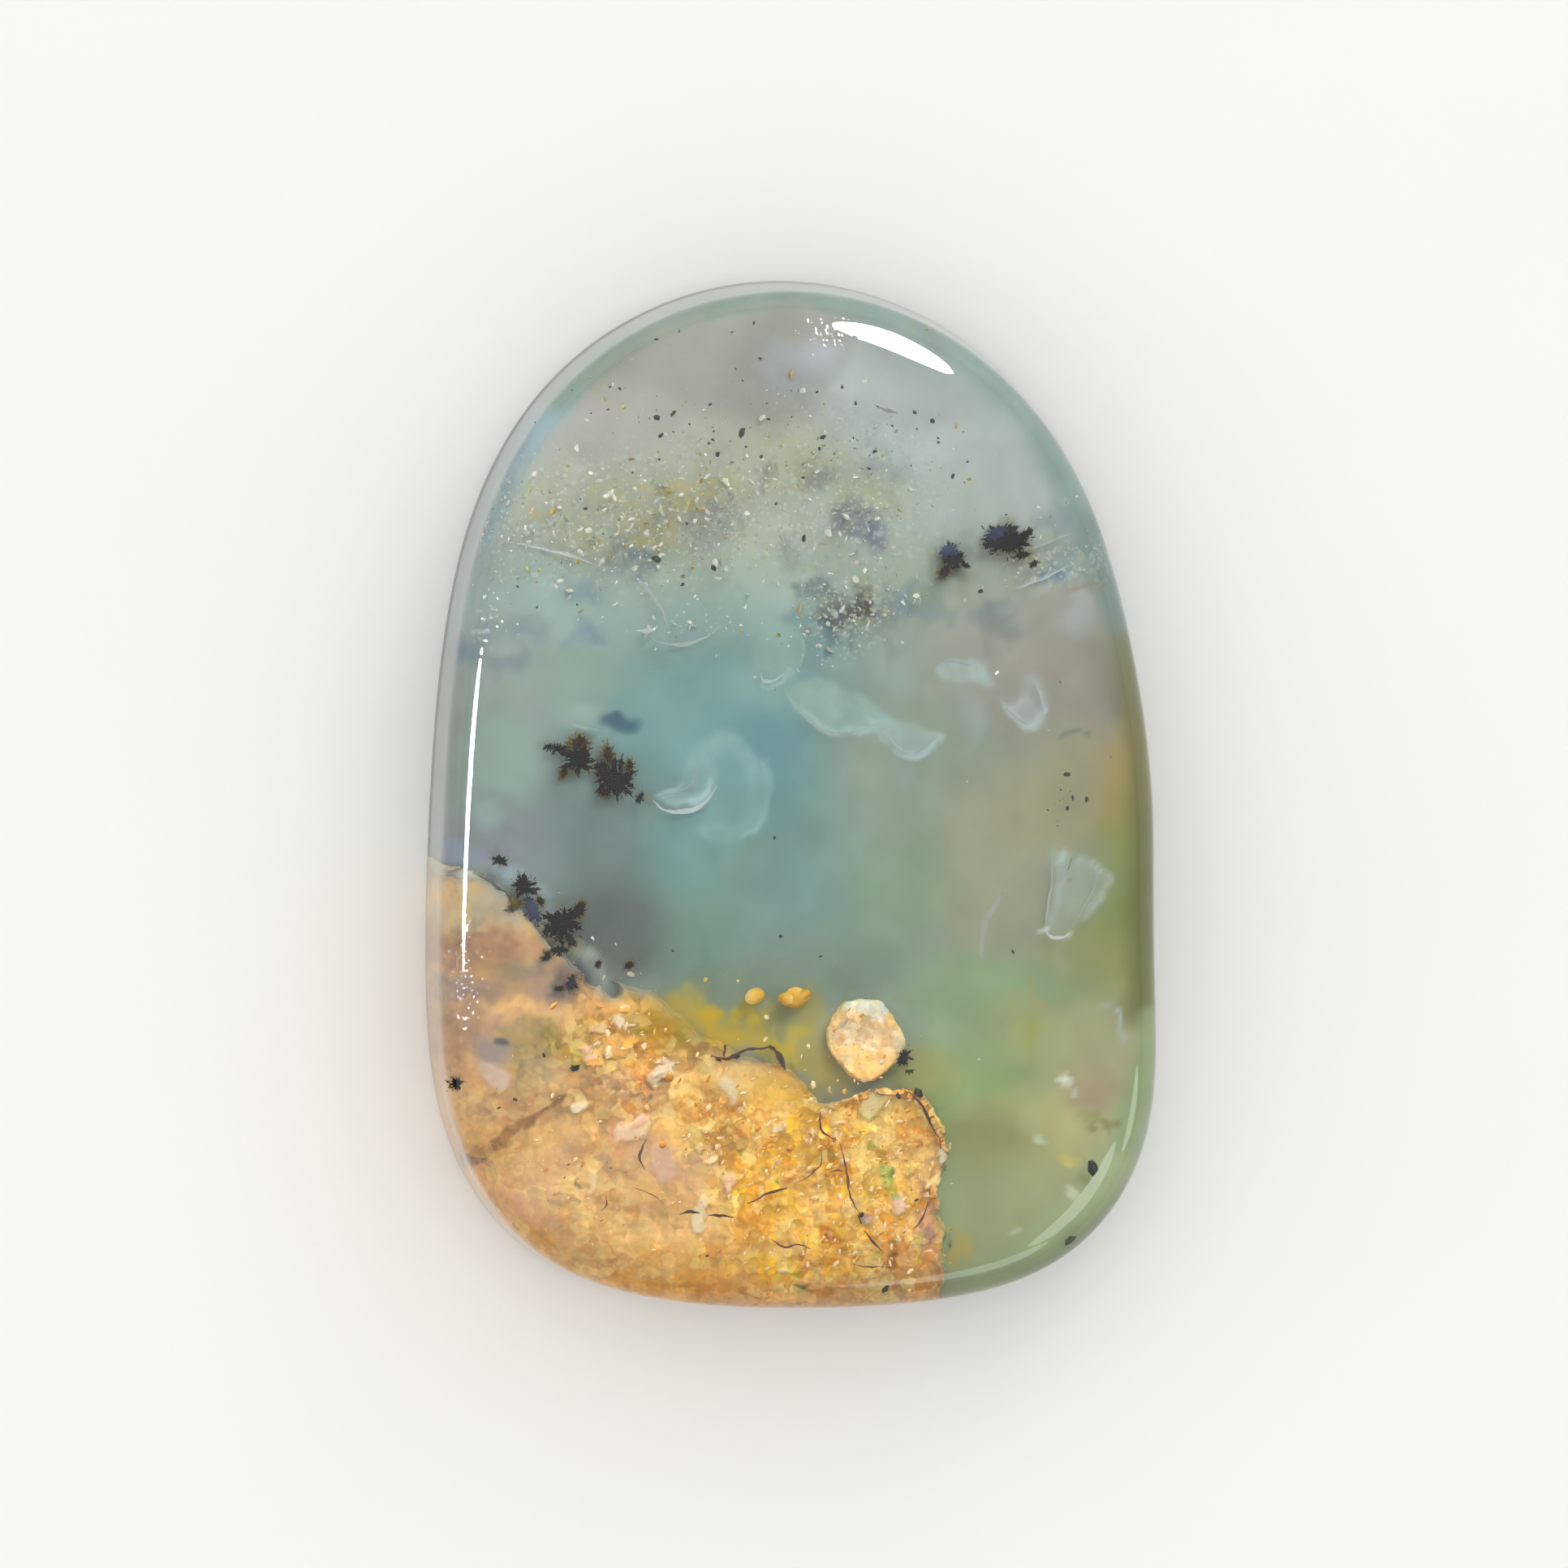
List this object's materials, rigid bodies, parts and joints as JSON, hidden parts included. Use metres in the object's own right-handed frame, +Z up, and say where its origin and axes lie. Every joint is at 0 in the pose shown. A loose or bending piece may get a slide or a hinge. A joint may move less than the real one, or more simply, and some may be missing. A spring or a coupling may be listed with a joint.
{
  "type": "opal cabochon",
  "caption": "Polished freeform opal cabochon with a flat back, a low crown and a rounded shoulder, narrower and rounder at its head than at its foot.",
  "frame": {"origin": "centre of the bounding rectangle of the stone's outline, on the flat back", "axes": "+Y along the stone's length towards its rounder head, +Z up through the polished crown, +X to the right when the crown is looked down on"},
  "size_m": [0.018, 0.0252, 0.005],
  "materials": {
    "polished_opal": "high polish, translucent blue-green opal with a tan host-rock inclusion"
  },
  "bodies": {
    "root": {"opal_cabochon": "polished_opal"}
  },
  "joints": []
}
